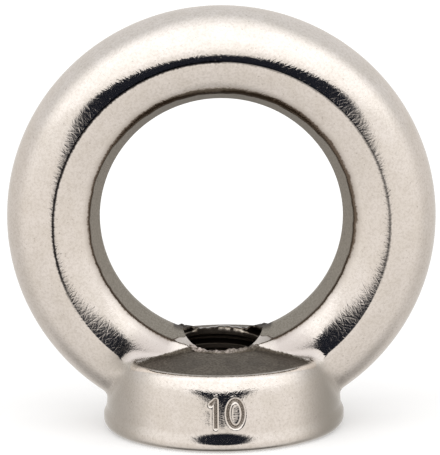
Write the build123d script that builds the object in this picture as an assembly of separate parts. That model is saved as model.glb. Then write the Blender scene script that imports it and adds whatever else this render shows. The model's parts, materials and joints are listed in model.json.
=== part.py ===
"""Lifting eye nut: a drop-forged ring standing on a round collar with a tapped hole.

Frame: millimetres, +Z up along the tapped hole, origin at the centre of the
collar's bearing face. The ring stands in the XZ plane, so the eye opens along Y.
"""

from build123d import *
from math import cos, radians, sin, sqrt, tan
import os

# Ring (the eye)
eye_outer_d = 45.0         # outside of the ring
ring_section_d = 10.0      # round bar section of the ring
flash_trim = 0.25          # depth of the land punched round the inside of the ring
land_width = 0.9           # the land is narrow, between the bevels that the punch leaves on its two sides
trim_edge_angle = 45.0     # round the bar section, from its innermost point to the edge of the punched band

# Collar, from the bearing face upwards
waist_d = 24.66            # narrowest place above the foot
foot_flare = 0.32          # the foot stands out this far beyond the waist, all round
foot_height = 1.45         # top of the foot's upright edge
waist_height = 2.6
rim_height = 7.93          # outer edge of the shoulder
bevel_height = 1.63        # bevel between the wall and the rim
wall_draft = 3.9           # degrees from upright
bevel_angle = 24.0         # degrees from upright
shoulder_slope = 8.0       # degrees, the shoulder rises towards the axis

# Forged rounding
foot_round = 0.95          # under the foot
foot_blend = 0.6           # over the foot
waist_blend = 1.2          # hollow of the waist
wall_blend = 2.0           # turn of the wall into the bevel
rim_round = 0.35           # edge of the shoulder
root_fillet = 1.25         # ring into collar, all the way round

# Tapped hole, metric coarse thread
thread_major_d = 10.0
thread_pitch = 1.5
countersink_clearance = 0.5    # the countersink's mouth stands this far outside the thread
countersink_angle = 45.0       # between the countersink's wall and the axis

# Derived sizes
ring_section_r = ring_section_d / 2
ring_path_r = eye_outer_d / 2 - ring_section_r
ring_centre_z = eye_outer_d / 2                    # the ring's outside touches the plane of the bearing face
waist_r = waist_d / 2
foot_r = waist_r + foot_flare
wall_top_z = rim_height - bevel_height
wall_top_r = waist_r - (wall_top_z - waist_height) * tan(radians(wall_draft))
rim_r = wall_top_r - bevel_height * tan(radians(bevel_angle))
shoulder_apex_z = rim_height + rim_r * tan(radians(shoulder_slope))
internal_thread_depth = 5 / 16 * sqrt(3) * thread_pitch    # flank height of an internal metric thread
bore_r = thread_major_d / 2 - internal_thread_depth
countersink_r = thread_major_d / 2 + countersink_clearance
countersink_depth = (countersink_r - bore_r) / tan(radians(countersink_angle))


def make_ring():
    """Round bar bent into a closed ring, standing upright."""
    return Pos(0, 0, ring_centre_z) * Rot(90, 0, 0) * Torus(ring_path_r, ring_section_r)


def make_collar():
    """Turned outline of the collar: rounded foot, waist, drafted wall, bevel and low conical shoulder."""
    outline = FilletPolyline(
        (0, 0, 0),
        (foot_r, 0, 0),
        (foot_r, 0, foot_height),
        (waist_r, 0, waist_height),
        (wall_top_r, 0, wall_top_z),
        (rim_r, 0, rim_height),
        (0, 0, shoulder_apex_z),
        radius=[foot_round, foot_blend, waist_blend, wall_blend, rim_round],
    )
    axis_side = Line(outline @ 1, outline @ 0)
    return revolve(make_face(outline.edges() + axis_side.edges()), Axis.Z, 360)


def blend_root(blank):
    """Fillet along the line where the ring's flanks and back meet the collar."""
    root_line = [edge for edge in blank.edges() if edge.geom_type == GeomType.BSPLINE]
    return fillet(root_line, root_fillet)


def trim_punch():
    """Punch that takes the flash out of the eye: a short land with a bevel on each side."""
    land_r = ring_path_r - ring_section_r + flash_trim
    edge_r = ring_path_r - ring_section_r * cos(radians(trim_edge_angle))
    edge_y = ring_section_r * sin(radians(trim_edge_angle))
    profile = Polyline(
        (0, edge_y),
        (edge_r, edge_y),
        (land_r, land_width / 2),
        (land_r, -land_width / 2),
        (edge_r, -edge_y),
        (0, -edge_y),
        close=True,
    )
    return Pos(0, 0, ring_centre_z) * revolve(make_face(profile.edges()), Axis.Y, 360)


def tapping_drill():
    """Bore at the thread's crests, with the countersink at the bearing face."""
    through = Cylinder(bore_r, ring_centre_z, align=(Align.CENTER, Align.CENTER, Align.MIN))
    mouth = Cone(countersink_r, bore_r, countersink_depth, align=(Align.CENTER, Align.CENTER, Align.MIN))
    return through + mouth


def make_eye_nut():
    blank = blend_root(make_ring() + make_collar())
    return blank - trim_punch() - tapping_drill()


eye_nut = make_eye_nut()
eye_nut.label = "eye_nut"

os.makedirs("parts", exist_ok=True)
export_step(eye_nut, "parts/eye_nut.step")
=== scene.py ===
import json
from functools import partial
from math import asin, cos, pi, radians, sin, sqrt, tan

import bmesh
import bpy
import numpy as np
from mathutils import Matrix, Vector


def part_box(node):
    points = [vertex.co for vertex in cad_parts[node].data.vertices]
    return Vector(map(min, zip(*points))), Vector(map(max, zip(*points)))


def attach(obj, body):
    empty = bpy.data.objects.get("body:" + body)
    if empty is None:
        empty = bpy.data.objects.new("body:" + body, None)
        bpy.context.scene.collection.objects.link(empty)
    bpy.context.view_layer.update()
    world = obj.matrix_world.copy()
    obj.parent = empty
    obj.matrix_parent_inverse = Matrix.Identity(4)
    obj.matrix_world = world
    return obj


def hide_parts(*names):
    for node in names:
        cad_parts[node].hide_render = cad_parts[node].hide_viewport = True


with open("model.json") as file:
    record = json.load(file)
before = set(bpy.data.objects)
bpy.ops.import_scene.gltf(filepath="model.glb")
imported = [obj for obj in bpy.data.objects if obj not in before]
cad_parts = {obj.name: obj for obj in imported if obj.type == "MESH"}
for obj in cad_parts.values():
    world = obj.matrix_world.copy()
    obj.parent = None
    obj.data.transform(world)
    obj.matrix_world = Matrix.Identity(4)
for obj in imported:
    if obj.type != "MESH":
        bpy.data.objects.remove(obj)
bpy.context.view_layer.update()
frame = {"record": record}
nut_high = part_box("eye_nut")[1]
MM = 0.001


# --- Camera -----------------------------------------------------------------
# A long lens one metre off, a little above the nut, looking square at the eye
# and leaning a touch to one side. It is aimed just below the middle of the eye.

camera_distance = 1.0
camera_elevation = radians(13.53)
camera_lean = radians(0.75)
camera_lens = 753.7
film_width = 36
aim_aside = -0.16 * MM
aim_below_middle = 1.27 * MM
camera_aim = Vector((aim_aside, 0, nut_high.z / 2 - aim_below_middle))

view_back = Vector((0, -cos(camera_elevation), sin(camera_elevation)))
view_up = Vector((0, sin(camera_elevation), cos(camera_elevation)))
view_axes = Matrix((Vector((1, 0, 0)), view_up, view_back)).transposed()

camera = bpy.data.objects.new("camera", bpy.data.cameras.new("camera"))
camera.data.lens = camera_lens
camera.data.sensor_width = film_width
camera.matrix_world = (
    Matrix.Translation(camera_aim + view_back * camera_distance)
    @ view_axes.to_4x4()
    @ Matrix.Rotation(-camera_lean, 4, "Z")
)
bpy.context.scene.collection.objects.link(camera)
bpy.context.scene.camera = camera
bpy.context.scene.view_settings.view_transform = "Standard"


# --- Floor ------------------------------------------------------------------
# Plain white sheet that the nut stands on, running out past the view on all
# sides. The steel takes its reflection of it from the studio's lower half.

floor_half_width = 3.0
floor_drop = 0.02 * MM
paper_white = 0.72
paper_glow = 0.3


def add_floor():
    corner = floor_half_width
    mesh = bpy.data.meshes.new("floor")
    mesh.from_pydata(
        [(-corner, -corner, -floor_drop), (corner, -corner, -floor_drop),
         (corner, corner, -floor_drop), (-corner, corner, -floor_drop)],
        [], [(0, 1, 2, 3)],
    )
    floor = bpy.data.objects.new("floor", mesh)
    bpy.context.scene.collection.objects.link(floor)
    floor.visible_glossy = False

    paper = bpy.data.materials.new("floor_paper")
    paper.use_nodes = True
    shader = paper.node_tree.nodes["Principled BSDF"]
    shader.inputs["Base Color"].default_value = (paper_white, paper_white, paper_white, 1)
    shader.inputs["Roughness"].default_value = 1.0
    shader.inputs["Specular IOR Level"].default_value = 0.0
    shader.inputs["Emission Color"].default_value = (1, 1, 1, 1)
    shader.inputs["Emission Strength"].default_value = paper_glow
    mesh.materials.append(paper)
    return floor


add_floor()


# --- Studio light -----------------------------------------------------------
# A white tent lit from the front and above, greyer behind and dark underneath.
# A black flag with feathered ends hangs close in front to draw the ring's curves.

tent_warmth = 0.04
warmth_ends_at = 40
front_turns_back = 0.35


def add_studio():
    """World light. Two scales of brightness by height, one for the front of the tent and
    one for its back, fade into each other over the sides."""
    world = bpy.data.worlds.new("studio")
    bpy.context.scene.world = world
    world.use_nodes = True
    nodes, links = world.node_tree.nodes, world.node_tree.links
    nodes.clear()
    direction = nodes.new("ShaderNodeTexCoord").outputs["Generated"]
    parts = nodes.new("ShaderNodeSeparateXYZ")
    links.new(direction, parts.inputs[0])
    height = nodes.new("ShaderNodeMapRange")
    height.inputs["From Min"].default_value = -1
    links.new(parts.outputs["Z"], height.inputs["Value"])

    def scale_by_height(steps):
        """Colour ramp from (elevation in degrees, brightness), warm below and white above."""
        ramp = nodes.new("ShaderNodeValToRGB")
        ramp.color_ramp.interpolation = "EASE"
        points = ramp.color_ramp.elements
        while len(points) < len(steps):
            points.new(0.5)
        for point, (elevation, level) in zip(points, steps):
            warmth = tent_warmth * (1 - min(max(elevation / warmth_ends_at, 0), 1))
            point.position = (sin(radians(elevation)) + 1) / 2
            point.color = (level * (1 + warmth), level, level * (1 - 1.1 * warmth), 1)
        links.new(height.outputs["Result"], ramp.inputs["Fac"])
        return ramp.outputs["Color"]

    front_light = scale_by_height(
        [(-90, 0.40), (-74, 0.58), (-60, 0.80), (-35, 0.87), (-10, 0.95), (12, 1.06), (28, 1.40), (50, 1.55)]
    )
    back_light = scale_by_height(
        [(-90, 0.08), (-70, 0.10), (-55, 0.45), (-35, 0.70), (0, 0.78), (30, 0.82), (60, 0.84), (85, 1.1)]
    )
    towards_front = nodes.new("ShaderNodeMapRange")
    towards_front.interpolation_type = "SMOOTHSTEP"
    links.new(parts.outputs["Y"], towards_front.inputs["Value"])
    towards_front.inputs["From Min"].default_value = front_turns_back
    towards_front.inputs["From Max"].default_value = -front_turns_back
    mix = nodes.new("ShaderNodeMix")
    mix.data_type = "RGBA"
    links.new(towards_front.outputs["Result"], mix.inputs["Factor"])
    links.new(back_light, mix.inputs["A"])
    links.new(front_light, mix.inputs["B"])
    background = nodes.new("ShaderNodeBackground")
    links.new(mix.outputs["Result"], background.inputs["Color"])
    out = nodes.new("ShaderNodeOutputWorld")
    links.new(background.outputs[0], out.inputs["Surface"])


flag_distance = 0.24
flag_shift = -0.006
wing_fade = 0.46 * flag_distance
wing_tip = 0.76 * flag_distance
wing_slope = 0.95
wing_drop = 0.33 * flag_distance
breast_drop = 0.21 * flag_distance
edge_clear = -0.15 * flag_distance
edge_black = 0.08 * flag_distance


def math_node(tree, operation, *values):
    """Output of a Math node on numbers or on other nodes' outputs."""
    node = tree.nodes.new("ShaderNodeMath")
    node.operation = operation
    for socket, value in zip(node.inputs, values):
        if isinstance(value, float):
            socket.default_value = value
        else:
            tree.links.new(value, socket)
    return node.outputs[0]


def fade_node(tree, value, start, end, low=0.0, high=1.0):
    """Output that goes from low to high as a value goes from start to end, eased at both ends."""
    node = tree.nodes.new("ShaderNodeMapRange")
    node.interpolation_type = "SMOOTHSTEP"
    for socket, number in zip(node.inputs[1:5], (start, end, low, high)):
        socket.default_value = number
    tree.links.new(value, node.inputs["Value"])
    return node.outputs["Result"]


def add_flag():
    """Black card in front, spread like a bird's wings over a short breast. The wing tips
    and the whole lower edge fade out. Only the steel sees it. The outline is in shares
    of the card's distance."""
    outline = [
        (-0.76, 0.42), (-0.32, 0.30), (-0.08, 0.21), (0.08, 0.21), (0.32, 0.30), (0.72, 0.40),
        (0.76, 0.10), (0.50, -0.10), (0.20, -0.40), (-0.20, -0.40), (-0.50, -0.10), (-0.76, 0.10),
    ]
    far, middle_z = flag_distance, nut_high.z / 2
    corners = [(x * far + flag_shift, -far, middle_z + z * far) for x, z in outline]
    mesh = bpy.data.meshes.new("flag")
    mesh.from_pydata(corners, [], [tuple(range(len(corners)))])
    flag = bpy.data.objects.new("flag", mesh)
    bpy.context.scene.collection.objects.link(flag)
    black = bpy.data.materials.new("flag_felt")
    black.use_nodes = True
    nodes, links = black.node_tree.nodes, black.node_tree.links
    math, fade = partial(math_node, black.node_tree), partial(fade_node, black.node_tree)
    nodes.clear()
    place = nodes.new("ShaderNodeTexCoord").outputs["Object"]
    parts = nodes.new("ShaderNodeSeparateXYZ")
    links.new(place, parts.inputs[0])
    from_middle = math("ABSOLUTE", math("SUBTRACT", parts.outputs["X"], flag_shift))
    height = math("SUBTRACT", parts.outputs["Z"], middle_z)
    slanted = math("MULTIPLY_ADD", from_middle, wing_slope, -wing_drop)
    lower_edge = math("MAXIMUM", slanted, -breast_drop)
    tips = fade(from_middle, wing_tip, wing_fade)
    breast = fade(math("SUBTRACT", height, lower_edge), edge_clear, edge_black)
    clear = nodes.new("ShaderNodeBsdfTransparent")
    felt = nodes.new("ShaderNodeEmission")
    felt.inputs["Color"].default_value = (0.012, 0.014, 0.022, 1)
    mix = nodes.new("ShaderNodeMixShader")
    out = nodes.new("ShaderNodeOutputMaterial")
    links.new(math("MULTIPLY", tips, breast), mix.inputs["Fac"])
    links.new(clear.outputs[0], mix.inputs[1])
    links.new(felt.outputs[0], mix.inputs[2])
    links.new(mix.outputs[0], out.inputs["Surface"])
    mesh.materials.append(black)
    flag.visible_camera = False
    flag.visible_diffuse = False
    flag.visible_shadow = False
    return flag


add_studio()
add_flag()


# --- Eye nut ----------------------------------------------------------------
# One drop forging in stainless steel: a round-section ring standing on a round
# collar. The flash is punched out of the eye, the collar is faced and tapped
# M10 from below, and the whole is tumbled and electropolished.

mounts = {mount["name"]: mount["dims"] for mount in frame["record"]["mounts"]}

# Ring: a round bar, with a flatter arc inside a faint crease round its inner side.
eye_outer_r = nut_high.x
ring_section_r = 5.0 * MM
ring_path_r = eye_outer_r - ring_section_r
ring_centre_z = nut_high.z / 2
crease_r = ring_path_r + 0.13 * MM
inner_lean = radians(6.3)
inner_section_r = 7.1 * MM

# Punched band: a land between two bevels. Its edges are angles round the bar, from the
# bar's innermost point, and the spans are angles from the top of the eye.
land_r = mounts["lifting_eye"]["r_mm"] * MM
land_half_width = mounts["lifting_eye"]["length_mm"] / 2 * MM
trim_edge_angle = radians(39.3)
trim_drift = radians(5.7)
trim_drift_span = radians(50), radians(130)
trim_wander = radians(0.9)
trim_wander_span = radians(120), radians(140)
trim_edge_round = 0.07 * MM
trim_stray_width = radians(35)

# Collar, from the bearing face upwards. Pairs give the size at the sides of the nut, then
# at its front and back.
foot_r = nut_high.y
foot_flat_r = foot_r - 0.95 * MM
foot_round_height = 0.95 * MM
flare_z = 1.35 * MM, 0.62 * MM
flare_depth = 0.31 * MM, 0.248 * MM
flare_height = 1.0 * MM, 1.6 * MM
waist_z = 2.4 * MM
waist_top_z = 2.35 * MM, 2.85 * MM
waist_turn = 0.3 * MM, 0.2 * MM
wall_draft = tan(radians(3.9)), 1.15 * tan(radians(3.9))
wall_top_z = 6.4 * MM
wall_turn = 0.62 * MM
bevel_slope = tan(radians(25))
rim_z = 7.93 * MM
rim_round = 0.4 * MM
shoulder_slope = tan(radians(8))

# Root fillet: low on the wall, next to the hole, and more for each step outwards over the shoulder.
low_root_r = 1.0 * MM
hole_root_r = 0.5 * MM
outer_root_r = 1.5 * MM
root_height_span = 4.4 * MM, 7.0 * MM
root_outward_span = 6.8 * MM, 11.8 * MM

# Tapped hole.
bore_r = mounts["thread"]["r_mm"] * MM
thread_r = 5.0 * MM
thread_pitch = 1.5 * MM
thread_start = radians(121)
thread_run_out = 0.45 * MM
mouth_r = thread_r + 0.15 * MM
countersink_r = 5.5 * MM
lip = 0.09 * MM
hole_floor_z = 7 * MM
hole_ceiling_z = 12 * MM


def between(x, start=0.0, end=1.0):
    """0 at the start and before it, 1 at the end and beyond, and three t squared less two t cubed
    between them. The end may lie below the start."""
    t = np.clip((x - start) / (end - start), 0, 1)
    return t * t * (3 - 2 * t)


def side_to_front(sizes, azimuth):
    """Size at an azimuth from its value at the sides and its value at the front and back."""
    at_side, at_front = sizes
    return at_side + (at_front - at_side) * np.sin(azimuth) ** 2


def ramp(x, turn):
    """A line of slope one from the origin on and zero before it, turning along a hyperbola."""
    return (x + np.sqrt(x * x + turn * turn)) / 2


def rounded_max(a, b, radius):
    """The larger of two distances, with the outward corner between them rounded to a quarter circle."""
    corner = np.hypot(np.maximum(radius + a, 0), np.maximum(radius + b, 0))
    return np.minimum(-radius, np.maximum(a, b)) + corner


def collar_wall_r(z, azimuth):
    """Radius of the collar's wall at a height: a quarter ellipse under the foot, the flare above it
    fading into an upright waist, then draft, and above the wall a steeper bevel. Front and
    back, on the flats of the dies, the flare is lower and longer and the waist higher."""
    up = np.clip(z, 0, foot_round_height) / foot_round_height
    foot = foot_flat_r + (foot_r - foot_flat_r) * np.sqrt(np.maximum(1 - (1 - up) ** 2, 0))
    start, height = side_to_front(flare_z, azimuth), side_to_front(flare_height, azimuth)
    flare = side_to_front(flare_depth, azimuth) * between(z, start, start + height)
    above_waist = ramp(z - side_to_front(waist_top_z, azimuth), side_to_front(waist_turn, azimuth))
    drafted = side_to_front(wall_draft, azimuth) * above_waist
    bevelled = (bevel_slope - wall_draft[0]) * ramp(z - wall_top_z, wall_turn)
    return foot - flare - drafted - bevelled


rim_r = float(collar_wall_r(np.array(rim_z), 0))


def collar_distance(p):
    """Distance outside the sharp-edged collar: beyond its wall or above its low conical shoulder."""
    out = np.hypot(p[..., 0], p[..., 1])
    wall = (out - collar_wall_r(p[..., 2], np.arctan2(p[..., 1], p[..., 0]))) * cos(radians(12))
    shoulder = (p[..., 2] - rim_z - (rim_r - out) * shoulder_slope) * cos(radians(8))
    return wall, shoulder


def ragged(along, side):
    """How far the punch's cut strays from a true circle, as an angle round the bar: it bit deeper
    over the top than at the roots, and four sine waves out of step between front and back
    make the sheared edge uneven. Both fade out at the roots."""
    high = trim_drift * between(np.abs(along), *trim_drift_span[::-1])
    waves = 0.5 * np.sin(9 * along + 1.3 * side) + 0.4 * np.sin(23 * along + 2.1 * side + 0.6)
    waves = waves + 0.35 * np.sin(41 * along + 4 * side) + 0.25 * np.sin(73 * along - side)
    return high + trim_wander * waves * between(np.abs(along), *trim_wander_span[::-1])


crease_width = sqrt(ring_section_r**2 - (crease_r - ring_path_r) ** 2)
inner_centre_r = crease_r + inner_section_r * sin(inner_lean)
inner_centre_width = crease_width - inner_section_r * cos(inner_lean)


def bevel_direction(edge_angle):
    """The bevel's run from the land's edge to an edge at an angle round the bar, as the outward and
    the sideways share of a unit length."""
    outwards = ring_path_r - ring_section_r * np.cos(edge_angle) - land_r
    sideways = ring_section_r * np.sin(edge_angle) - land_half_width
    length = np.hypot(outwards, sideways)
    return outwards / length, sideways / length


def ring_distance(p):
    """Distance outside the ring: outside its round section, which turns to a flatter arc
    inside a faint crease, or inside the punched land or the bevel that runs from the
    land's edge to the edge of the punched band."""
    out = np.hypot(p[..., 0], p[..., 2] - ring_centre_z)
    width = np.abs(p[..., 1])
    outer_arc = np.hypot(out - ring_path_r, width) - ring_section_r
    inner_arc = np.hypot(out - inner_centre_r, width - inner_centre_width) - inner_section_r
    bar = np.maximum(outer_arc, inner_arc)
    along = np.arctan2(p[..., 0], p[..., 2] - ring_centre_z)
    edge_angle = trim_edge_angle + ragged(along, np.sign(p[..., 1]))
    outwards, sideways = bevel_direction(edge_angle)
    bevel = (width - land_half_width) * outwards - (out - land_r) * sideways
    return rounded_max(bar, np.maximum(land_r - out, bevel), trim_edge_round)


def root_radius(p):
    """Fillet radius where ring and collar meet: wide at the shoulder's outer corners,
    tighter low on the wall and smallest next to the hole."""
    height = between(p[..., 2], *root_height_span)
    outward = between(np.hypot(p[..., 0], p[..., 1]), *root_outward_span)
    return low_root_r + (hole_root_r - low_root_r + outer_root_r * outward) * height


def gradient(distance, p):
    """Slope of a distance along the three axes, by central differences."""
    step = 0.002 * MM
    parts = []
    for axis in np.eye(3) * step:
        parts.append((distance(p + axis) - distance(p - axis)) / (2 * step))
    return np.stack(parts, -1)


def collar_body(p):
    """Distance outside the collar, with the rim of its shoulder rounded."""
    wall, shoulder = collar_distance(p)
    return rounded_max(wall, shoulder, rim_round)


def skin(p):
    """Distance outside the forging and its slope. Where ring and collar are both near,
    it is the distance to a ball of the root radius that touches the two:
    r - sqrt((A^2 + B^2 - 2cAB) / (1 - c^2)), with A and B the radius less each
    distance and c the cosine between the two surfaces' slopes."""
    a, b = ring_distance(p), collar_body(p)
    slope_a, slope_b = gradient(ring_distance, p), gradient(collar_body, p)
    lengths = np.linalg.norm(slope_a, axis=-1) * np.linalg.norm(slope_b, axis=-1)
    c = np.clip((slope_a * slope_b).sum(-1) / np.maximum(lengths, 1e-9), -0.9, 0.97)
    radius = root_radius(p)
    near_a, near_b = radius - a, radius - b
    weight_a, weight_b = near_a - c * near_b, near_b - c * near_a
    reach = np.sqrt(np.maximum(near_a**2 + near_b**2 - 2 * c * near_a * near_b, 1e-18) / (1 - c * c))
    inside = (weight_a > 0) & (weight_b > 0)
    filleted = radius - reach
    slope = weight_a[..., None] * slope_a + weight_b[..., None] * slope_b
    slope = slope / ((1 - c * c) * reach)[..., None]
    nearest = np.where((a < b)[..., None], slope_a, slope_b)
    return np.where(inside, filleted, np.minimum(a, b)), np.where(inside[..., None], slope, nearest)


def settle(p, steps=12):
    """Points moved on to the forging's skin, each along the slope by the distance over its length squared."""
    for _ in range(steps):
        distance, slope = skin(p)
        p = p - slope * (distance / np.maximum((slope**2).sum(-1), 0.05))[..., None]
    return p


def bisect(value, low, high, steps=50):
    """Where a value falls through zero, by halving the span between two arrays."""
    for _ in range(steps):
        middle = (low + high) / 2
        above = value(middle) > 0
        low, high = np.where(above, middle, low), np.where(above, high, middle)
    return (low + high) / 2


def spread(start, end, count, crowd=0.0):
    """Values from one end to the other, evenly spaced or crowded towards both ends by a sine wave."""
    t = np.linspace(0, 1, count + 1)
    return start + (end - start) * (t - crowd * np.sin(2 * pi * t) / (2 * pi))


# The ring: a grid of lines along the bar, each ending where it runs into the collar.


def bar_r(around):
    """Radius of the ring's section at an angle round the bar from its innermost point: the
    bar's own radius, or less where the land or the bevel cuts it."""
    c, s = np.cos(around), np.abs(np.sin(around))
    outwards, sideways = bevel_direction(trim_edge_angle)
    land = np.where(c > 0.1, (ring_path_r - land_r) / np.maximum(c, 0.1), 1)
    bevel_reach = (ring_path_r - land_r) * sideways + land_half_width * outwards
    bevel_lean = c * sideways + s * outwards
    bevel = np.where(bevel_lean > 0.1, bevel_reach / np.maximum(bevel_lean, 0.1), 1)
    return np.minimum(ring_section_r, np.minimum(land, bevel))


def ring_point(along, around):
    """A point of the ring: along is the angle from the top of the eye, around the angle round the bar
    from its innermost point towards the front."""
    out = ring_path_r - bar_r(around) * np.cos(around)
    side = -bar_r(around) * np.sin(around)
    return np.stack([out * np.sin(along), side, ring_centre_z + out * np.cos(along)], -1)


def ring_end(around):
    """Angle along the ring at which a line on it reaches the collar or the lip of the hole."""

    def clear(along):
        p = ring_point(along, around)
        wall, shoulder = collar_distance(p)
        return np.minimum(np.maximum(wall, shoulder), np.hypot(p[..., 0], p[..., 1]) - mouth_r)

    return bisect(clear, np.full_like(around, pi / 2), np.full_like(around, pi))


def lip_corner(around):
    """Height of the ring above the shoulder where it meets the lip of the hole."""

    def beyond(along):
        p = ring_point(along, around)
        return np.hypot(p[..., 0], p[..., 1]) - mouth_r

    p = ring_point(bisect(beyond, np.full_like(around, pi / 2), np.full_like(around, pi)), around)
    return collar_distance(p)[1]


def rim_corner(around):
    """Positive while a line on the ring ends on the shoulder, negative once it ends on the wall."""
    wall, shoulder = collar_distance(ring_point(ring_end(around), around))
    return shoulder - wall


crease_angle = pi / 2 + asin((crease_r - ring_path_r) / ring_section_r)
crease_strip = radians(0.45)
land_edge = float(np.arctan2(land_half_width, ring_path_r - land_r))
lip_angle = float(bisect(lip_corner, np.array(radians(20)), np.array(radians(60))))
rim_angle = float(bisect(rim_corner, np.array(radians(80)), np.array(radians(125))))

# Lines round the bar, from its innermost point out to its back. The first ones end at
# the hole, the next at the shoulder and the last at the collar's wall.
to_land_edge = spread(0, land_edge, 9, 0.5)
to_trim_edge = spread(land_edge, trim_edge_angle, 12, 0.7)
to_shoulder = spread(trim_edge_angle, lip_angle, 3)
to_crease = spread(lip_angle, crease_angle - crease_strip, 21)
to_rim = np.concatenate([to_crease, [crease_angle, crease_angle + crease_strip, rim_angle]])
to_back = spread(rim_angle, pi, 40)
half = np.concatenate([to_land_edge, to_trim_edge[1:], to_shoulder[1:], to_rim[1:], to_back[1:]])
lines_to_hole = len(to_land_edge) + len(to_trim_edge) + len(to_shoulder) - 3
lines_to_rim = lines_to_hole + len(to_rim) - 1
bar_lines = np.concatenate([-half[:0:-1], half])
middle_line = len(half) - 1


def ring_grid(count=280):
    """Rows from the left root over the top of the eye to the right root. Rows are evenly
    spaced over the top and draw apart or together towards the ends of their lines, and the
    lines near the punched band's edge stray with it."""
    end = ring_end(bar_lines)
    t = spread(-1, 1, count, 0.25)[:, None]
    mean_end = end.mean()
    pull = np.maximum((np.abs(t) - 0.5) / 0.5, 0) ** 2
    along = t * mean_end + np.sign(t) * pull * (end - mean_end)
    beside = between(np.abs(np.abs(bar_lines) - trim_edge_angle), trim_stray_width, 0)
    astray = np.sign(bar_lines) * beside * ragged(along, -np.sign(bar_lines))
    return ring_point(along, bar_lines + astray)


ring = ring_grid()

# Columns of the shoulder and the wall, closest together behind the figures.
front_columns = np.concatenate([spread(0, 0.40, 16), spread(0.40, 0.60, 66)[1:], spread(0.60, 1, 16)[1:]])
back_columns = spread(0, 1, 36)


def shoulder_grid(columns, lines, face):
    """Shoulder between the collar's rim and the lip of the hole. A row starts where its
    line of the ring meets the shoulder, and turns round the axis to the same place on
    the other side. Away from the ring its rows crowd towards the rim and the lip."""
    side = ring[-1, lines]
    out = np.hypot(side[:, 0], side[:, 1])[:, None]
    crowded = spread(rim_r, mouth_r, len(lines) - 1, 0.75)[:, None]
    away = between(np.minimum(columns, 1 - columns) * 6)[None, :]
    out = out * (1 - away) + crowded * away
    inward = np.linspace(0, 1, len(lines))[:, None]
    turn = columns * (1 - inward) + np.linspace(0, 1, len(columns)) * inward
    start = np.arctan2(np.abs(side[:, 1]), side[:, 0])[:, None]
    azimuth = start + (pi - 2 * start) * turn
    out = out - (rim_r - collar_wall_r(np.array(rim_z), azimuth)) * (1 - inward) * away
    height = rim_z + (rim_r - out) * shoulder_slope
    return np.stack([out * np.cos(azimuth), -face * out * np.sin(azimuth), height], -1)


shoulder_lines = np.arange(middle_line + lines_to_rim, middle_line + lines_to_hole - 1, -1)
front = shoulder_grid(front_columns, shoulder_lines, 1)
back = shoulder_grid(back_columns, 2 * middle_line - shoulder_lines, -1)


def round_the_nut(side_lines, row):
    """A closed line clockwise round the nut, seen from above, from the back of its right side:
    the ring's right end, the front shoulder, the ring's left end, the back shoulder."""
    right, left = ring[-1, side_lines], ring[0, side_lines[::-1]]
    return np.concatenate([right[:-1], front[row, :-1], left[:-1], back[row, ::-1]])


hole_lines = np.arange(middle_line - lines_to_hole, middle_line + lines_to_hole + 1)
back_half = np.arange(middle_line - lines_to_rim, 0, -1)
front_half = np.arange(2 * middle_line, middle_line + lines_to_rim - 1, -1)
wall_lines = np.concatenate([back_half, front_half])


def wall_grid(top):
    """Collar wall under a line of points: up the foot's round, over its edge to the waist,
    then on to the line above."""
    foot = foot_round_height * (1 - np.cos(np.linspace(0, pi / 2, 11)))[:, None]
    azimuth = np.arctan2(top[:, 1], top[:, 0])
    flare = spread(foot_round_height, waist_z, 16)[1:, None]
    rows_up = np.concatenate([spread(0, 0.64, 44)[1:], spread(0.64, 1, 14, 0.5)[1:]])[:, None]
    z = np.concatenate([foot + 0 * azimuth, flare + 0 * azimuth, waist_z + (top[:, 2] - waist_z) * rows_up])
    out = collar_wall_r(z, azimuth)
    points = np.stack([out * np.cos(azimuth), out * np.sin(azimuth), z], -1)
    points[-1] = top
    return points


wall = wall_grid(round_the_nut(wall_lines, 0))


def above_hole(out, azimuth):
    """Points of the skin straight above a circle round the hole, found by halving in height."""

    def above(z):
        return skin(np.stack([out * np.cos(azimuth), out * np.sin(azimuth), z], -1))[0]

    z = bisect(above, np.full_like(azimuth, hole_ceiling_z), np.full_like(azimuth, hole_floor_z), 24)
    return np.stack([out * np.cos(azimuth), out * np.sin(azimuth), z], -1)


def lift_to_lip(edge):
    """The same edge on the circle of the lip, at the skin's height."""
    return above_hole(mouth_r, np.arctan2(edge[:, 1], edge[:, 0]))


ring[-1, hole_lines] = lift_to_lip(ring[-1, hole_lines])
ring[0, hole_lines] = lift_to_lip(ring[0, hole_lines])
front[-1] = lift_to_lip(front[-1])
back[-1] = lift_to_lip(back[-1])


# Torn metal round the hole: radii and heights in millimetres, turns in radians.
burr_tips = (radians(27), 0.30), (radians(152), 0.26)
burr_half_turn = 0.075
burr_r = 4.9
torn_lip_r = 4.95
torn_lip_height = 0.52
torn_thread_r = 4.42
torn_thread_height = 0.34
gap_r = 4.80
gap_depth = 0.26


def bell(x, middle, width):
    """Gauss bell: e to the power of minus the square of the distance from the middle over the width."""
    return np.exp(-(((x - middle) / width) ** 2))


def burrs(out, azimuth):
    """Height of the burr at each corner of the torn lip: its tip's height times a bell in
    azimuth and a bell in radius."""
    height = np.zeros_like(out)
    for burr_azimuth, tip in burr_tips:
        height = height + tip * bell(azimuth, burr_azimuth, burr_half_turn) * bell(out, burr_r, 0.45)
    return height


def torn_lip(out, azimuth):
    """Height of the lip turned up along the back of the hole: uneven by two sine waves, whole
    as far as its radius, and falling off beyond it as half a bell."""
    behind = between(np.sin(azimuth), 0.35, 0.65)
    uneven = torn_lip_height + 0.05 * np.sin(9 * azimuth) + 0.04 * np.sin(31 * azimuth + 1)
    return behind * uneven * bell(np.maximum(out, torn_lip_r), torn_lip_r, 0.35)


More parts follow.
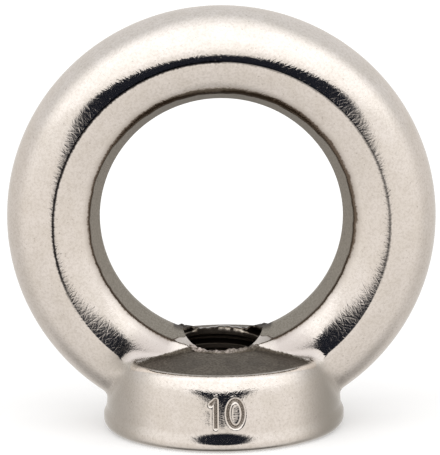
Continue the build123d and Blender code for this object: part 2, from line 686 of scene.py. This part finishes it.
def torn_thread(out, azimuth):
    """Height of the last thin thread along the front of the hole, bent up behind a narrow gap: a
    bell up and a bell down in radius. Both wander by two sine waves, and three more make
    the thread jagged."""
    in_front = between(-np.sin(azimuth), 0.62, 0.82) * between(out, 5.12, 5.02)
    wander = 0.06 * np.sin(7 * azimuth + 2) + 0.04 * np.sin(19 * azimuth)
    jags = 0.6 + 0.25 * np.sin(5 * azimuth + 1) + 0.15 * np.sin(17 * azimuth) + 0.12 * np.sin(43 * azimuth + 1)
    thread = torn_thread_height * jags * bell(out - wander, torn_thread_r, 0.16)
    gap = gap_depth * bell(out - wander, gap_r, 0.12)
    return in_front * (thread - gap)


def tear(p):
    """The same points with the torn metal round the hole raised along the axis."""
    out, azimuth = np.hypot(p[..., 0], p[..., 1]) / MM, np.arctan2(p[..., 1], p[..., 0])
    rise = burrs(out, azimuth) + torn_lip(out, azimuth) + torn_thread(out, azimuth)
    rise = rise * (p[..., 2] < hole_ceiling_z)
    return p + rise[..., None] * MM * np.array([0, 0, 1])


ring, front, back, wall = tear(settle(ring)), tear(settle(front)), tear(settle(back)), settle(wall)


# Figures struck into the front of the wall: sizes in millimetres.
figures_middle_z = 4.15 * MM
figures_half_width = 3.0
figures_half_height = 2.3
stroke_depth = 0.25
stroke_half_width = 0.28
stroke_burr = 0.022


def to_segment(x, z, start, end):
    """Distance from a straight stroke."""
    run = np.subtract(end, start)
    t = np.clip(((x - start[0]) * run[0] + (z - start[1]) * run[1]) / (run @ run), 0, 1)
    return np.hypot(x - start[0] - t * run[0], z - start[1] - t * run[1])


def to_oval(x, z, middle_x, half_width, half_height):
    """Distance from an upright oval, to first order: how far the point is off it over the slope there."""
    across, up = (x - middle_x) / half_width, z / half_height
    size = np.hypot(across, up)
    return np.abs(size - 1) / np.hypot(across / half_width, up / half_height) * size


def struck(p):
    """How deep the figures 1 and 0 are struck into the front of the wall, in millimetres: a
    rounded groove along each stroke with a low burr thrown up beside it."""
    x, z = foot_r * np.arctan2(p[..., 0], -p[..., 1]) / MM, (p[..., 2] - figures_middle_z) / MM
    one_foot, one_top, one_flag = (-0.9, -1.45), (-0.9, 1.45), (-1.45, 0.95)
    one = np.minimum(to_segment(x, z, one_foot, one_top), to_segment(x, z, one_top, one_flag))
    stroke = np.minimum(one, to_oval(x, z, 1.25, 0.84, 1.42))
    groove = stroke_depth * between(stroke, stroke_half_width, 0)
    burr = stroke_burr * bell(stroke, stroke_half_width + 0.1, 0.12)
    near = (p[..., 1] < -8 * MM) & (np.abs(x) < figures_half_width) & (np.abs(z) < figures_half_height)
    return np.where(near, groove - burr, 0)


def strike(p):
    """The same points pushed in towards the axis by the figures."""
    out = np.maximum(np.hypot(p[..., 0], p[..., 1]), MM)
    share = 1 - struck(p) * MM / out
    return p * np.stack([share, share, np.ones_like(share)], -1)


struck_wall = strike(wall)
mouth_line = round_the_nut(hole_lines, -1)
mouth_azimuth = np.unwrap(np.arctan2(mouth_line[:, 1], mouth_line[:, 0]))
thread_climb = thread_pitch * (mouth_azimuth - thread_start) / (2 * pi)


def round_axis(out, z):
    """Points at a radius and height on the mouth's azimuths."""
    return np.stack([out * np.cos(mouth_azimuth), out * np.sin(mouth_azimuth), z + 0 * out], -1)


def mouth_grid(inward=14, over=4):
    """Mouth of the hole: in over the torn skin, then over a small round edge into the bore."""
    out = np.linspace(mouth_r, bore_r + lip, inward + 1)[:, None]
    flat = tear(above_hole(out, np.broadcast_to(mouth_azimuth, (inward + 1, len(mouth_azimuth)))))
    flat[0] = mouth_line
    corner = tear(above_hole(bore_r, mouth_azimuth))
    below = corner - np.array([0, 0, lip])
    t = np.linspace(0, 1, over + 1)[1:, None, None]
    return np.concatenate([flat, flat[-1] * (1 - t) ** 2 + corner * 2 * t * (1 - t) + below * t**2])


mouth = mouth_grid()
bore_top_z = mouth[-1, :, 2]


def thread_wall_r(z):
    """Radius of the internal metric thread: flat crests an eighth of the pitch each side,
    flanks at thirty degrees, flat roots a sixteenth each side, on a right-hand helix that
    runs out under the mouth."""
    from_crest = np.abs(((z - thread_climb) / thread_pitch + 0.5) % 1 - 0.5)
    depth = (thread_r - bore_r) * np.clip((from_crest - 1 / 8) / (5 / 16), 0, 1)
    return bore_r + depth * between(bore_top_z - z, 0, thread_run_out)


def bore_grid():
    """Threaded wall of the hole. Rows climb with the helix, stop against the mouth and the
    bearing face, and lie on the thread's corners, so its edges are clean."""
    corners = np.array([0, 2, 4.5, 7, 9, 11.5, 14]) / 16
    turns = np.arange(-1, int(nut_high.z / 4 / thread_pitch) + 3)
    rows = (turns[:, None] + corners).ravel()[:, None] * thread_pitch
    first = thread_climb[0] % thread_pitch - thread_climb[0]
    z = np.clip(rows + thread_climb + first, 0, bore_top_z)
    return round_axis(np.maximum(thread_wall_r(z), countersink_r - z), z)


bore = bore_grid()


def ring_of_triangles(outer, inner):
    """Flat face between two closed lines that turn the same way, one triangle for each step of either."""
    count = len(outer) - 1, len(inner) - 1
    share = [np.unwrap(np.arctan2(line[:, 1], line[:, 0])) for line in (outer, inner)]
    steps = np.concatenate([share[0][1:], share[1][1:]])
    of_outer = np.repeat([True, False], count)[np.argsort(-steps, kind="stable")]
    i = np.concatenate([[0], np.cumsum(of_outer)])
    j = np.concatenate([[0], np.cumsum(~of_outer)])
    third = np.where(of_outer, i[1:], len(outer) + j[1:])
    return np.stack([i[:-1], third, len(outer) + j[:-1]], -1)


def weld(grids, finishes):
    """One closed mesh from grids of points, joined where their edges share points, with
    the flat bearing face last, and the number of its finish on every face."""
    points, polygons, finish, start = [], [], [], 0
    for grid, number in zip(grids, finishes):
        rows, columns = grid.shape[:2]
        index = start + np.arange(rows * columns).reshape(rows, columns)
        quads = np.stack([index[:-1, :-1], index[:-1, 1:], index[1:, 1:], index[1:, :-1]], -1)
        points.append(grid.reshape(-1, 3))
        polygons += quads.reshape(-1, 4).tolist()
        finish += [number] * quads[..., 0].size
        start += rows * columns
    outer, inner = wall[0], bore[0]
    points += [outer, inner]
    base = (start + ring_of_triangles(outer, inner)).tolist()
    mesh = bpy.data.meshes.new("eye_nut_forging")
    mesh.from_pydata(np.concatenate(points).tolist(), [], polygons + base)
    mesh.polygons.foreach_set("material_index", np.array(finish + [finishes[-1]] * len(base), "i"))
    shell = bmesh.new()
    shell.from_mesh(mesh)
    bmesh.ops.remove_doubles(shell, verts=shell.verts, dist=0.001 * MM)
    bmesh.ops.recalc_face_normals(shell, faces=shell.faces)
    shell.to_mesh(mesh)
    shell.free()
    return mesh


tumbled, tapped, faced = 0, 1, 2
nut_mesh = weld(
    [ring, front, back, struck_wall, mouth, bore],
    [tumbled, tumbled, tumbled, tumbled, tumbled, tapped, faced],
)
nut = bpy.data.objects.new("eye_nut_forging", nut_mesh)
bpy.context.scene.collection.objects.link(nut)
nut_mesh.polygons.foreach_set("use_smooth", np.ones(len(nut_mesh.polygons), bool))
nut_mesh.set_sharp_from_angle(angle=radians(35))


# Spots of painted shade next to the ring's roots: middle, strength and size in millimetres.
root_shade_spots = ((-9.6, -4.6, 8.6), 1.5, 1.8), ((4.9, -3.0, 10.0), 0.7, 1.1)
furthest_kept = 6


def punched_reach(p, out, turn):
    """How far each point lies inside the punched band, measured round the bar. Beside the front
    of the hole the band gives way to clean skin along a line made uneven by three sine waves."""
    around = np.arctan2(np.abs(p[:, 1]), ring_path_r - out)
    inside = (trim_edge_angle + ragged(np.radians(turn), np.sign(p[:, 1])) - around) * ring_section_r
    band_end = 158 + 1.5 * (np.sin(6 * around) + 0.6 * np.sin(19 * around + 1) + 0.5 * np.sin(47 * around))
    return inside - 3 * MM * between(np.abs(turn), band_end, band_end + 5) * (p[:, 1] < 0)


def stain_and_shade_spread(turn):
    """How far the dark brown of dirt and painted shade spreads from the punched band, in millimetres:
    widest 32 degrees either side of the top, more so on the left, and wider again all down the right side."""
    upper = 0.4 * bell(np.abs(turn), 32, 18) * (1 - 0.2 * np.sign(turn))
    return 0.28 + upper + 0.24 * (turn > 0) * between(turn, 115, 85)


def darkened(p):
    """Share of darker, a little rougher skin on the collar's sides, less on the left, and of painted shade in
    spots at the ring's roots.
    """
    on_collar = between((ring_distance(p) - collar_body(p)) / MM, -1.5, 1.5)
    dark = between(np.abs(p[:, 0]) / MM, 6.5, 11.5) * on_collar * (0.85 + 0.15 * np.sign(p[:, 0]))
    for middle, strength, size in root_shade_spots:
        away = np.linalg.norm(p / MM - np.array(middle), axis=1)
        dark = np.maximum(dark, strength * bell(away, 0, size))
    return dark


def torn_and_gap(p, reach, azimuth):
    """Along the front of the hole, above 0 on the bare torn thread and below 0 in the gap behind it,
    which the steel paints near-black as shade.
    """
    torn = between(reach, 4.72, 4.60) * between(-np.sin(azimuth), 0.5, 0.7) * between(p[:, 2] / MM, 8.6, 8.85)
    gap = bell(reach, 4.83, 0.08) * between(-np.sin(azimuth), 0.75, 0.90)
    return torn * (0.62 - 0.38 * np.cos(azimuth)) - gap


def add_finish_maps(mesh):
    """Numbers kept on the mesh for the steel. Some are distances in millimetres: into the punched
    band, above the shoulder, inside the rim, outside the crease, into a struck figure, and the
    width of the dirt and painted shade. The others are shares from 0 to 1. The last is a place
    unrolled along the tumbling marks, which run round the bar on the ring and upright on the collar."""
    p = np.empty(len(mesh.vertices) * 3)
    mesh.vertices.foreach_get("co", p)
    p = p.reshape(-1, 3)
    out = np.hypot(p[:, 0], p[:, 2] - ring_centre_z)
    along = np.arctan2(p[:, 0], p[:, 2] - ring_centre_z)
    turn = np.degrees(along)
    azimuth, reach = np.arctan2(p[:, 1], p[:, 0]), np.hypot(p[:, 0], p[:, 1]) / MM
    at_hole = p[:, 2] < hole_ceiling_z
    wall_gap, shoulder_gap = collar_distance(p)
    # Where the painted shade along the crease fades: towards the roots, and weaker on the right.
    crease_shade_fade = between(np.abs(turn), 100, 130) + 0.45 * (turn > 0)
    # Painted shade at the back of the hole's mouth.
    hole_mouth_shade = between(reach, 5.3, 5.05) * between(np.sin(azimuth), -0.3, 0) * at_hole
    maps = {
        "punched": punched_reach(p, out, turn) / MM,
        "above_shoulder": shoulder_gap / MM,
        "inside_rim": -wall_gap / MM,
        "outside_crease": (out - crease_r) / MM,
        "figures": struck(p),
        "stain_and_shade_width": stain_and_shade_spread(turn),
        "crease_shade_fade": np.minimum(crease_shade_fade, 1),
        "dark_sides_and_root_shade": darkened(p),
        "hole_mouth_shade": hole_mouth_shade,
        "torn": torn_and_gap(p, reach, azimuth) * at_hole,
    }
    for name, values in maps.items():
        kept = np.clip(values, -furthest_kept, furthest_kept).astype("f")
        mesh.attributes.new(name, "FLOAT", "POINT").data.foreach_set("value", kept)

    around = np.arctan2(np.abs(p[:, 1]), ring_path_r - out)
    on_ring = np.stack([ring_path_r * np.sin(along), ring_path_r * np.cos(along), ring_section_r * around], -1)
    on_collar = np.stack([foot_r * np.cos(azimuth), foot_r * np.sin(azimuth), p[:, 2]], -1)
    marks = np.where((ring_distance(p) < collar_body(p))[:, None], on_ring, on_collar + 50 * MM)
    mesh.attributes.new("marks", "FLOAT_VECTOR", "POINT").data.foreach_set("vector", marks.astype("f").ravel())


add_finish_maps(nut_mesh)


def new_steel(name, colour, roughness):
    """Metal of one colour and roughness, and its node tree and shader for more."""
    steel = bpy.data.materials.new(name)
    steel.use_nodes = True
    shader = steel.node_tree.nodes["Principled BSDF"]
    shader.inputs["Base Color"].default_value = (*colour, 1)
    shader.inputs["Metallic"].default_value = 1.0
    shader.inputs["Roughness"].default_value = roughness
    nut_mesh.materials.append(steel)
    return steel.node_tree, shader


def add_tumbled_steel():
    """Bright tumbled skin with fine marks and pits. The punched band is grey and the shoulder matte,
    painted dark brown as a reflection of its dark surroundings. Dirt and painted shade spread dark
    brown from the punched band, and painted shade darkens the crease, the figures and the back of
    the hole's mouth."""
    tree, shader = new_steel("tumbled_stainless", (0.76, 0.71, 0.665), 0.1)
    nodes, links = tree.nodes, tree.links
    math, fade = partial(math_node, tree), partial(fade_node, tree)
    place = nodes.new("ShaderNodeTexCoord").outputs["Object"]

    def kept(name, output="Fac"):
        """One of the finish maps."""
        node = nodes.new("ShaderNodeAttribute")
        node.attribute_name = name
        return node.outputs[output]

    def noise(size, detail, source):
        """Noise between 0 and 1 with features of a size in metres."""
        node = nodes.new("ShaderNodeTexNoise")
        node.inputs["Scale"].default_value = 1 / size
        node.inputs["Detail"].default_value = detail
        node.inputs["Roughness"].default_value = 0.5
        links.new(source, node.inputs["Vector"])
        return node.outputs["Fac"]

    def blend(factor, under, over):
        """Colour that goes from one to the other."""
        node = nodes.new("ShaderNodeMix")
        node.data_type = "RGBA"
        links.new(factor, node.inputs["Factor"])
        for socket, colour in ((node.inputs["A"], under), (node.inputs["B"], over)):
            if isinstance(colour, tuple):
                socket.default_value = (*colour, 1)
            else:
                links.new(colour, socket)
        return node.outputs["Result"]

    marks = kept("marks", "Vector")
    parts = nodes.new("ShaderNodeSeparateXYZ")
    links.new(marks, parts.inputs[0])

    def hairs(lean, size):
        """Fine lines across the run of the metal at a lean: the marks are turned about the axis by an
        angle that grows along the line, then squeezed lengthwise."""
        turned = nodes.new("ShaderNodeVectorRotate")
        turned.rotation_type = "Z_AXIS"
        links.new(marks, turned.inputs["Vector"])
        links.new(math("MULTIPLY", parts.outputs["Z"], lean / ring_path_r), turned.inputs["Angle"])
        squeezed = nodes.new("ShaderNodeVectorMath")
        squeezed.operation = "MULTIPLY"
        squeezed.inputs[1].default_value = (1, 1, 0.25)
        links.new(turned.outputs[0], squeezed.inputs[0])
        return noise(size, 1, squeezed.outputs[0])

    # Patterns.
    crossed = math("MAXIMUM", hairs(0.8, 0.28 * MM), hairs(-0.6, 0.31 * MM))
    scratches = math("MAXIMUM", crossed, hairs(0.1, 0.27 * MM))
    grain = noise(0.26 * MM, 3, place)
    clouds = noise(2.2 * MM, 3, place)
    specks = fade(noise(0.27 * MM, 1, place), 0.68, 0.80)
    crumbs = noise(0.18 * MM, 2, place)
    ragged_edge = math("SUBTRACT", math("MULTIPLY", grain, 0.5), 0.25)

    # The punched band, the line of its bevel darkened with dirt and painted shade, and the dark brown of dirt
    # and painted shade that spreads from its edge.
    punched = fade(math("ADD", kept("punched"), math("MULTIPLY", ragged_edge, 0.15)), -0.03, 0.03)
    crease = fade(kept("punched"), 0.05, 0.25, 1.0, 0.0)
    stain_and_shade_reach = math("ADD", kept("punched"), kept("stain_and_shade_width"))
    stain_and_shade_reach = math("ADD", stain_and_shade_reach, math("MULTIPLY", ragged_edge, 1.1))
    stain_and_shade = math("ADD", fade(stain_and_shade_reach, -0.12, 0.18, 0.0, 0.65), fade(stain_and_shade_reach, -0.75, 0.1, 0.0, 0.35))

    # The matte shoulder inside the polished rim, its dark brown a painted reflection of the dark surroundings
    # it faces.
    bare_height = math("SUBTRACT", kept("above_shoulder"), math("MULTIPLY", kept("inside_rim"), 0.05))
    bare = fade(math("ADD", bare_height, math("MULTIPLY", ragged_edge, 0.5)), 0.16, 0.0)
    bare = math("MULTIPLY", bare, fade(kept("inside_rim"), 0.15, 0.55))

    # Frosted skin low on the ring, where the stones reach less and less. Next to the hole it
    # is brighter.
    low = math("ADD", kept("above_shoulder"), math("MULTIPLY", ragged_edge, 2.0))
    frosted = math("MULTIPLY", fade(low, 4.2, 1.0), fade(kept("above_shoulder"), 0.0, 0.35))
    frosted = math("MULTIPLY", frosted, fade(kept("inside_rim"), -1.4, 0.6))
    frosted = math("MULTIPLY", frosted, fade(kept("inside_rim"), 4.8, 3.4, 0.3, 1.0))

    # The faint crease round the ring, drawn as a near-black line of painted shade that fades towards the roots
    # and on the right; the figures, darkened with painted shade; and the torn thread.
    along_crease = math("ADD", math("ABSOLUTE", kept("outside_crease")), math("MULTIPLY", ragged_edge, 0.5))
    groove = math("MULTIPLY", fade(along_crease, 0.21, 0.06), fade(kept("crease_shade_fade"), 1.0, 0.0))
    figures = fade(kept("figures"), 0.02, 0.16)
    torn = math("MULTIPLY", fade(kept("torn"), 0.1, 1.0), fade(grain, 0.36, 0.62, 0.25, 1.0))

    polished = blend(fade(clouds, 0.3, 0.7), (0.735, 0.685, 0.635), (0.785, 0.735, 0.695))
    polished = blend(fade(grain, 0.62, 0.30, 0.0, 0.30), polished, (0.46, 0.41, 0.36))
    # Darker on the collar's sides, and painted shade in spots at the ring's roots.
    polished = blend(kept("dark_sides_and_root_shade"), polished, (0.34, 0.315, 0.28))
    polished = blend(frosted, polished, (0.50, 0.455, 0.43))
    polished = blend(math("MULTIPLY", specks, 0.36), polished, (0.25, 0.21, 0.18))
    # Painted shade: a near-black line along the faint crease.
    polished = blend(groove, polished, (0.05, 0.045, 0.045))
    # Painted shade inside the struck figures.
    polished = blend(math("MULTIPLY", figures, 0.7), polished, (0.32, 0.28, 0.24))
    # Dirt and painted shade, dark brown beside the punched band.
    polished = blend(stain_and_shade, polished, (0.14, 0.108, 0.083))
    # Painted reflection: the shoulder's dark brown stands in for the dark surroundings it reflects; grain and
    # clouds vary it.
    matte_shoulder_painted_dark = blend(fade(grain, 0.36, 0.62), (0.095, 0.078, 0.06), (0.168, 0.146, 0.118))
    matte_shoulder_painted_dark = blend(fade(clouds, 0.62, 0.36, 0.0, 0.5), matte_shoulder_painted_dark, (0.075, 0.062, 0.05))
    sheared = blend(fade(crumbs, 0.3, 0.7), (0.275, 0.25, 0.213), (0.385, 0.355, 0.31))
    # The bevel's line darkened with dirt and painted shade.
    sheared = blend(crease, sheared, (0.09, 0.07, 0.055))
    colour = blend(punched, blend(bare, polished, matte_shoulder_painted_dark), sheared)
    # Painted shade: near-black at the back of the hole's mouth.
    colour = blend(kept("hole_mouth_shade"), colour, (0.05, 0.04, 0.033))
    colour = blend(torn, colour, (0.54, 0.475, 0.44))
    # Painted shadow: near-black in the gap behind the torn thread.
    colour = blend(fade(kept("torn"), -0.1, -0.7), colour, (0.03, 0.025, 0.02))
    links.new(colour, shader.inputs["Base Color"])

    matte = math("MAXIMUM", punched, math("MAXIMUM", bare, math("MULTIPLY", figures, 0.6)))
    matte = math("MAXIMUM", matte, math("MULTIPLY", frosted, 0.42))
    matte = math("MAXIMUM", matte, math("MULTIPLY", kept("dark_sides_and_root_shade"), 0.25))
    links.new(fade(matte, 0.0, 1.0, 0.08, 0.5), shader.inputs["Roughness"])

    # Relief, with shallower scratches round the foot.
    height = math("MULTIPLY", scratches, fade(kept("above_shoulder"), -5.9, -4.8, 0.7, 1.8))
    height = math("ADD", height, math("MULTIPLY", crumbs, math("MULTIPLY", matte, 3.0)))
    height = math("ADD", height, math("MULTIPLY", grain, 0.7))
    height = math("SUBTRACT", height, math("MULTIPLY", specks, 0.4))
    bump = nodes.new("ShaderNodeBump")
    bump.inputs["Strength"].default_value = 1.0
    bump.inputs["Distance"].default_value = 0.008 * MM
    links.new(height, bump.inputs["Height"])
    links.new(bump.outputs["Normal"], shader.inputs["Normal"])


def add_tapped_steel():
    """Cut thread, painted by radius: a painted highlight along the edges of its crests, near-black
    flanks as painted shade in the hole, and lighter roots. Its colour goes by the radius, from the
    crests at 0 to the roots at 1."""
    tree, shader = new_steel("tapped_steel", (0.12, 0.10, 0.08), 0.3)
    nodes, links = tree.nodes, tree.links
    place = nodes.new("ShaderNodeTexCoord").outputs["Object"]
    level = nodes.new("ShaderNodeVectorMath")
    level.operation = "MULTIPLY"
    level.inputs[1].default_value = (1, 1, 0)
    links.new(place, level.inputs[0])
    radius = nodes.new("ShaderNodeVectorMath")
    radius.operation = "LENGTH"
    links.new(level.outputs[0], radius.inputs[0])
    across = nodes.new("ShaderNodeMapRange")
    across.inputs["From Min"].default_value = bore_r
    across.inputs["From Max"].default_value = thread_r
    links.new(radius.outputs["Value"], across.inputs["Value"])
    crest_highlight_and_shade = nodes.new("ShaderNodeValToRGB")
    stops = crest_highlight_and_shade.color_ramp.elements
    stops[0].position, stops[0].color = 0.0, (0.27, 0.235, 0.20, 1)
    stops[1].position, stops[1].color = 0.06, (0.66, 0.60, 0.52, 1)
    stops.new(0.20).color = (0.05, 0.04, 0.033, 1)
    stops.new(0.90).color = (0.05, 0.04, 0.033, 1)
    stops.new(0.98).color = (0.22, 0.19, 0.16, 1)
    links.new(across.outputs["Result"], crest_highlight_and_shade.inputs["Fac"])
    links.new(crest_highlight_and_shade.outputs["Color"], shader.inputs["Base Color"])


add_tumbled_steel()
add_tapped_steel()
new_steel("faced_steel", (0.60, 0.58, 0.55), 0.28)
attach(nut, "root")
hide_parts("eye_nut")
